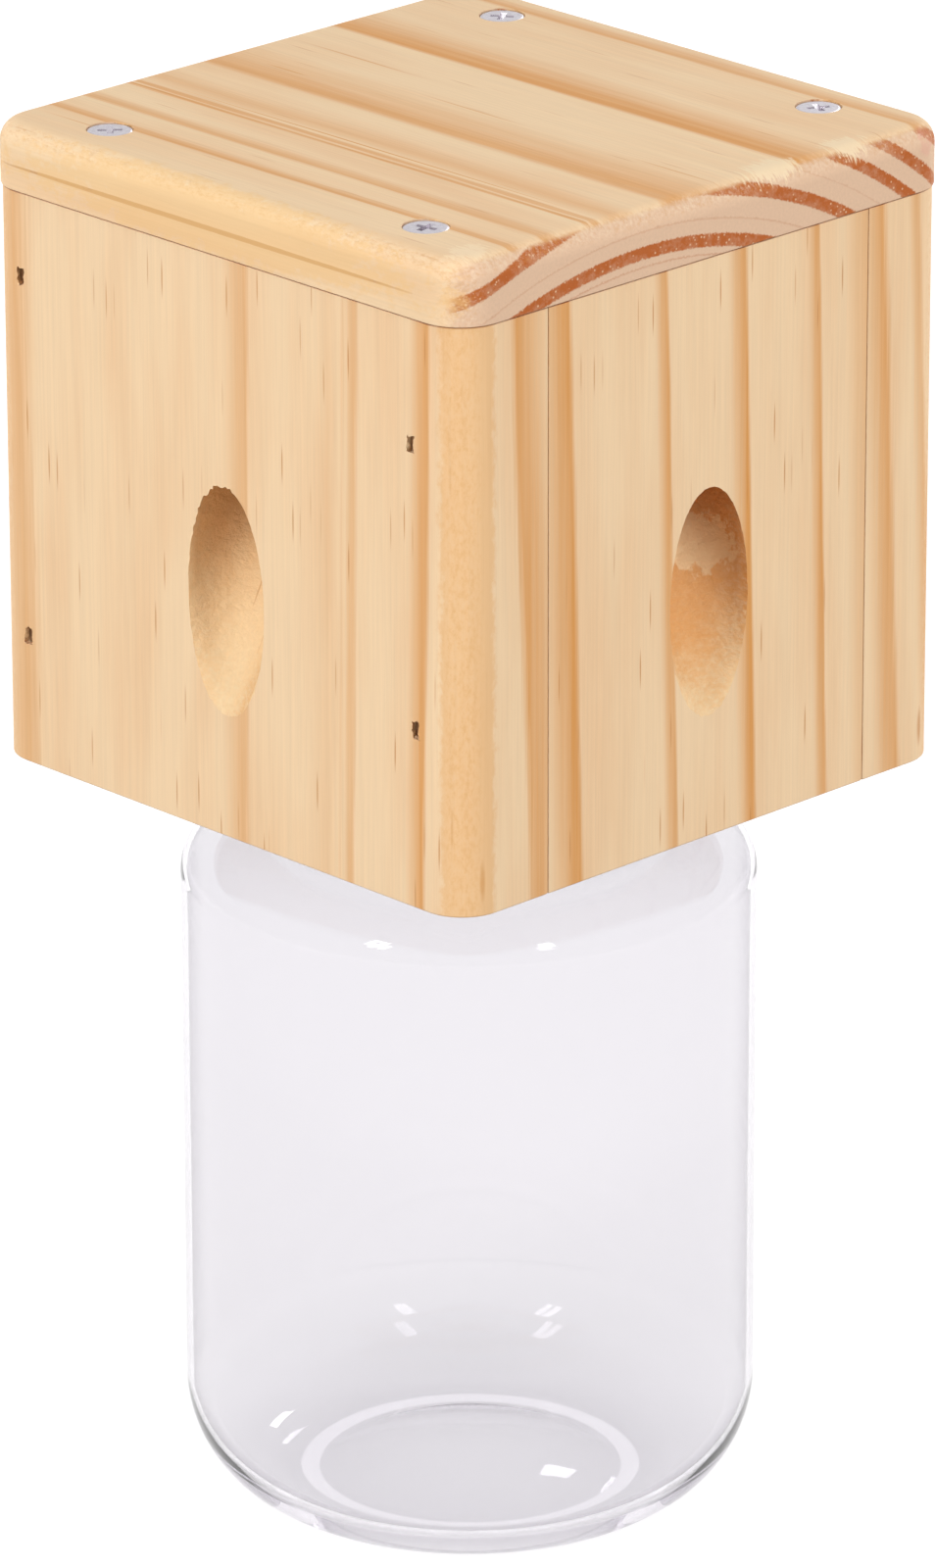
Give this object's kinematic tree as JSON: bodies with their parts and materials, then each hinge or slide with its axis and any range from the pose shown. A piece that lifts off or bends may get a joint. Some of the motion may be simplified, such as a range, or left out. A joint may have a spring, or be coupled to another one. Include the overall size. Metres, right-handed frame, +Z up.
{
  "type": "carpenter bee trap",
  "caption": "Square pine box with steep entry holes in its four walls, a screwed-on roof, and a clear jar that screws up under it to hold the catch.",
  "frame": {"origin": "on the surface that the jar stands on, under the middle of the jar and the box", "axes": "+Z up along the jar's axis, the front wall faces -Y and the right wall faces +X"},
  "size_m": [0.1046, 0.1046, 0.2258],
  "materials": {
    "pine": "planed clear pine, unfinished",
    "zinc": "bright zinc plate",
    "brad_steel": "dull wire steel",
    "cap_plastic": "moulded, satin",
    "foam": "closed-cell foam",
    "clear_plastic": "blown, clear, glossy"
  },
  "bodies": {
    "box": {"front_wall": "pine", "back_wall": "pine", "right_wall": "pine", "left_wall": "pine", "roof_board": "pine", "floor_board": "pine", "jar_cap": "cap_plastic", "roof_screw_front_left": "zinc", "roof_screw_front_right": "zinc", "roof_screw_back_left": "zinc", "roof_screw_back_right": "zinc", "cap_screw_1": "zinc", "cap_screw_2": "zinc", "cap_screw_3": "zinc", "cap_screw_4": "zinc", "front_brad_upper_left": "brad_steel", "front_brad_lower_left": "brad_steel", "front_brad_upper_right": "brad_steel", "front_brad_lower_right": "brad_steel", "back_brad_upper_left": "brad_steel", "back_brad_lower_left": "brad_steel", "back_brad_upper_right": "brad_steel", "back_brad_lower_right": "brad_steel"},
    "liner": {"cap_liner": "foam"},
    "jar": {"jar": "clear_plastic"}
  },
  "joints": [
    {"name": "jar_drop", "type": "slide", "parent": "box", "child": "liner", "axis": [0, 0, 1], "range_m": [-0.00491, 0]},
    {"name": "jar_turn", "type": "hinge", "parent": "liner", "child": "jar", "pos_m": [0, 0, 0.12], "axis": [0, 0, 1], "range_deg": [-420, 0]}
  ],
  "couplings": [
    {"joint": "jar_drop", "follows": "jar_turn", "m_per_rad": 0.00066845}
  ]
}
